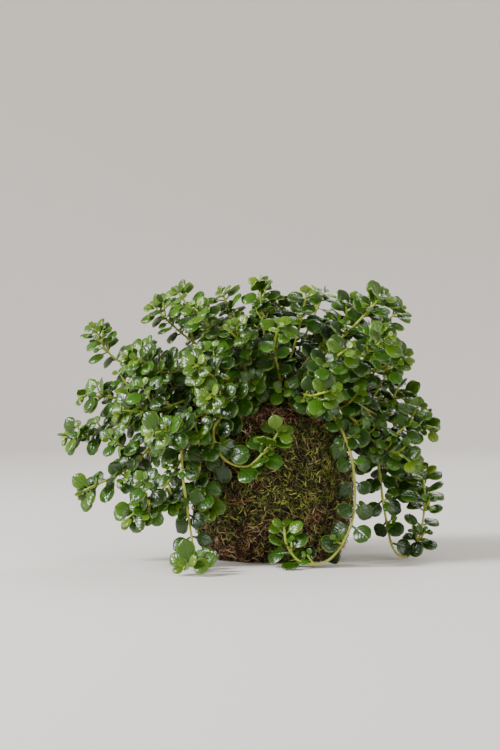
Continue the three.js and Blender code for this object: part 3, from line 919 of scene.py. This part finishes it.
def add_leaf_pair(leaves, node, scale, age, draw, twists=LEAF_TURNS):
    """Adds two facing leaves. One that doesn't fit is turned round the stem, or else left out."""
    for sign in (1, -1):
        size = scale * (0.92 + 0.26 * draw())
        for twist in twists:
            matrix = leaf_matrix(node, sign, twist, size)
            if leaf_fits(matrix, size):
                patterns = leaf_patterns if size > 0.5 else small_leaf_patterns
                pattern = patterns[int(draw() * len(patterns))]
                leaves.append((pattern, matrix, min(1, age + 0.12 * draw()), draw()))
                break


def grow_side_shoot(bm, leaves, node, sign, length, vigour, draw):
    """A short stem that leaves a node and bends up, with leaves in pairs."""
    radial = node["side"] * math.cos(node["angle"]) + node["over"] * math.sin(node["angle"])
    ahead = unit(radial * sign * 0.8 + node["along"] * 0.75 + 0.25 * UP)
    steps = np.linspace(0, 1, len(SIDE_TAPER))[:, None]
    line = node["at"] + ahead * length * steps + (0.22 * UP + 0.1 * LIGHT) * length * steps ** 2
    if not in_the_open(line[-1], 3) or not in_the_open(line[3], 2):
        return
    thickness = 0.42 + 0.3 * vigour
    add_tube(bm, line, thickness * SIDE_TAPER, 5)
    level = unit(np.cross(UP, ahead) + 0.01)
    back = 0
    for k, gap in enumerate(SIDE_GAPS):
        back += gap * (0.6 + 0.5 * vigour)
        if back > length * 0.85:
            break
        angle = node["angle"] + k * math.pi / 2 + 0.5 * draw()
        spot = leaf_node(line, back, level, angle, 0.45 + 0.25 * k)
        scale = vigour * SIDE_SCALES[min(k, 3)]
        add_leaf_pair(leaves, spot, scale, 0.1 + 0.18 * k, draw, SIDE_TURNS)


def grow_leaves(stem, bm, leaves):
    """A stem's leaves and side shoots. Gives back how far from its tip its nodes are. The stem's
    own draws place the nodes as in the CAD model, and extra ones what only grows here."""
    draw = stem["draw"]
    extra = draw_from(1013 * (len(stem["name"]) + int(abs(sum(stem["tip"]))) + 7))
    line = stem["line"]
    total = stem["length"]
    level = np.cross(UP, unit(np.array([stem["tip"][0], stem["tip"][1], 0.0])))
    nodes = []
    back = 0
    for k in range(40):
        back += NODE_GAPS[min(k, len(NODE_GAPS) - 1)]
        if back > total * LEAFY_SHARE:
            break
        angle = math.pi / 4 + k * math.pi / 2 + 0.5 * (draw() - 0.5)
        scale = stem["vigour"] * NODE_SCALES[min(k, 2)] * (0.9 + 0.2 * draw())
        opening = LEAF_OPENING[min(k, 2)] + 0.3 * (draw() - 0.5)
        # The CAD model draws here which leaf of the pair it keeps
        draw()
        node = leaf_node(line, back, level, angle, opening)
        x, y, z = node["at"]
        dark = LEAVES_LOST if math.hypot(x, y) < DARK_RADIUS and y < 10 and z < DARK_HEIGHT else 0
        if k < 3 or extra() > dark:
            add_leaf_pair(leaves, node, scale, min(1, back / YOUNG_STRETCH), extra)
        if k == 0 and stem["name"] not in BARE_TIPS:
            crosswise = angle + math.pi / 2
            bud = leaf_node(line, 0.2, level, crosswise, 0.35)
            add_leaf_pair(leaves, bud, 0.38, 0, extra)
            rosette = leaf_node(line, 2.8, level, crosswise + 0.3, 1.15)
            add_leaf_pair(leaves, rosette, 0.88, 0.2, extra)
        nodes.append((back, node, k >= 2 and extra() > dark))
    for back, node, branches in nodes:
        for sign in (1, -1):
            chance = extra() + stem["sparse"]
            if not branches or chance > SIDE_CHANCE:
                continue
            if chance < LONG_SIDE_CHANCE:
                length = min(11 + 13 * extra(), 0.85 * back)
                grow_side_shoot(bm, leaves, node, sign, length, 0.85 + 0.15 * extra(), extra)
            else:
                grow_side_shoot(bm, leaves, node, sign, 4 + 4 * extra(), 0.55 + 0.2 * extra(), extra)
    return [back for back, _, _ in nodes]


def add_stem_tube(bm, stem, knots):
    """The stem, thinner towards its tip and a little swollen at its nodes."""
    total = stem["length"]
    count = max(12, int(total / RING_STEP))
    path, radii = [], []
    for back in np.linspace(total, 0, count + 1):
        path.append(point_back(stem["line"], back)[0])
        swell = max([0] + [1 - abs(back - knot) / NODE_REACH for knot in knots])
        radius = STEM_RADII[1] + (STEM_RADII[0] - STEM_RADII[1]) * back / total
        radii.append(radius * (1 + NODE_SWELL * swell))
    radii[0] = radii[-1] = 0
    add_tube(bm, path, radii, 8)


def stem_mesh(name, bm, leaves, tip):
    """Joins a stem and its leaves in one mesh, with each one's material, age and tone."""
    points, faces = to_pattern(bm)
    far = np.linalg.norm(points - tip, axis=1)
    ages = list(far / far.max())
    tones = [0.5] * len(points)
    spots = [(0.0, 0.0)] * len(points)
    stem_faces = len(faces)
    blocks = [points]
    count = len(points)
    for (shape, shape_faces, shape_spots), matrix, age, tone in leaves:
        blocks.append(shape @ matrix[:3, :3].T + matrix[:3, 3])
        faces.extend([[index + count for index in face] for face in shape_faces])
        ages.extend([age] * len(shape))
        tones.extend([tone] * len(shape))
        spots.extend(shape_spots)
        count += len(shape)
    mesh = bpy.data.meshes.new(name)
    mesh.from_pydata(np.concatenate(blocks).tolist(), [], faces)
    mesh.attributes.new("age", "FLOAT", "POINT").data.foreach_set("value", ages)
    mesh.attributes.new("tone", "FLOAT", "POINT").data.foreach_set("value", tones)
    corners = np.empty(len(mesh.loops), dtype=int)
    mesh.loops.foreach_get("vertex_index", corners)
    mesh.uv_layers.new(name="leaf").data.foreach_set("uv", np.array(spots)[corners].ravel())
    material_of = np.ones(len(faces), dtype=int)
    material_of[:stem_faces] = 0
    mesh.polygons.foreach_set("material_index", material_of)
    mesh.shade_smooth()
    mesh.set_sharp_from_angle(angle=math.radians(55))
    return mesh


leaf_draw = draw_from(40009)
leaf_patterns = [leaf_pattern(LEAF_ROWS, 4, leaf_draw) for _ in range(LEAF_KINDS)]
small_leaf_patterns = [leaf_pattern(SMALL_LEAF_ROWS, 2, leaf_draw) for _ in range(SMALL_LEAF_KINDS)]
plant_materials = [stem_material(), leaf_material()]
for stem in place_stems():
    growing = bmesh.new()
    leaves = []
    knots = grow_leaves(stem, growing, leaves)
    add_stem_tube(growing, stem, knots)
    mesh = stem_mesh(stem["name"] + "_grown", growing, leaves, np.array(stem["tip"]))
    add_piece(stem["name"] + "_grown", mesh, plant_materials, "leafy_stem", stem["name"])


# The studio: a pale paper floor that curves up all round, a soft window light from the left, a
# weaker one from the right and one behind, and the camera at the photograph's height.

FLOOR_RADIUS = 1.6
CURVE_RADIUS = 0.7
WALL_HEIGHT = 3.2
AIM = (0, 0, 0.08)
CAMERA_PLACE = (-0.0132, -1.1, 0.109)


def add_backdrop():
    """A floor that turns up into a wall all round, seen from inside."""
    curve = [(FLOOR_RADIUS + CURVE_RADIUS * math.sin(a), CURVE_RADIUS - CURVE_RADIUS * math.cos(a))
             for a in np.linspace(0, math.pi / 2, 13)]
    bm = spin_round([(0, 0)] + curve + [(FLOOR_RADIUS + CURVE_RADIUS, WALL_HEIGHT)], 64)
    bmesh.ops.reverse_faces(bm, faces=bm.faces)
    mesh = bpy.data.meshes.new("backdrop")
    bm.to_mesh(mesh)
    bm.free()
    mesh.shade_smooth()
    material = new_material("Pale matt paper")
    shader = add_node(material, "ShaderNodeBsdfPrincipled",
                      {"Roughness": 0.85, "Base Color": linear("dedad5")})
    add_node(material, "ShaderNodeOutputMaterial", links={"Surface": shader.outputs[0]})
    mesh.materials.append(material)
    backdrop = bpy.data.objects.new("backdrop", mesh)
    bpy.context.scene.collection.objects.link(backdrop)


def add_light(name, place, power, size):
    """A square soft light that faces the plant."""
    light = bpy.data.lights.new(name, "AREA")
    light.energy = power
    light.size = size
    lamp = bpy.data.objects.new(name, light)
    lamp.location = place
    lamp.rotation_euler = (Vector(place) - Vector(AIM)).to_track_quat("Z", "Y").to_euler()
    bpy.context.scene.collection.objects.link(lamp)


def add_camera():
    """A camera that looks level from the front, at 1.1 m with a long lens."""
    camera = bpy.data.objects.new("camera", bpy.data.cameras.new("camera"))
    camera.data.lens = 88
    camera.data.sensor_width = 36
    camera.location = CAMERA_PLACE
    camera.rotation_euler = (math.pi / 2, 0, 0)
    bpy.context.scene.collection.objects.link(camera)
    bpy.context.scene.camera = camera


add_backdrop()
add_light("window", (-1.3, -0.45, 0.95), 50, 0.5)
add_light("fill", (1.1, -1.4, 0.6), 13, 1.0)
add_light("back", (0.5, 1.3, 1.3), 14, 0.8)
world = bpy.data.worlds.new("studio")
world.use_nodes = True
background = world.node_tree.nodes["Background"]
background.inputs["Color"].default_value = linear("e8e7e3")
background.inputs["Strength"].default_value = 0.6
bpy.context.scene.world = world
add_camera()
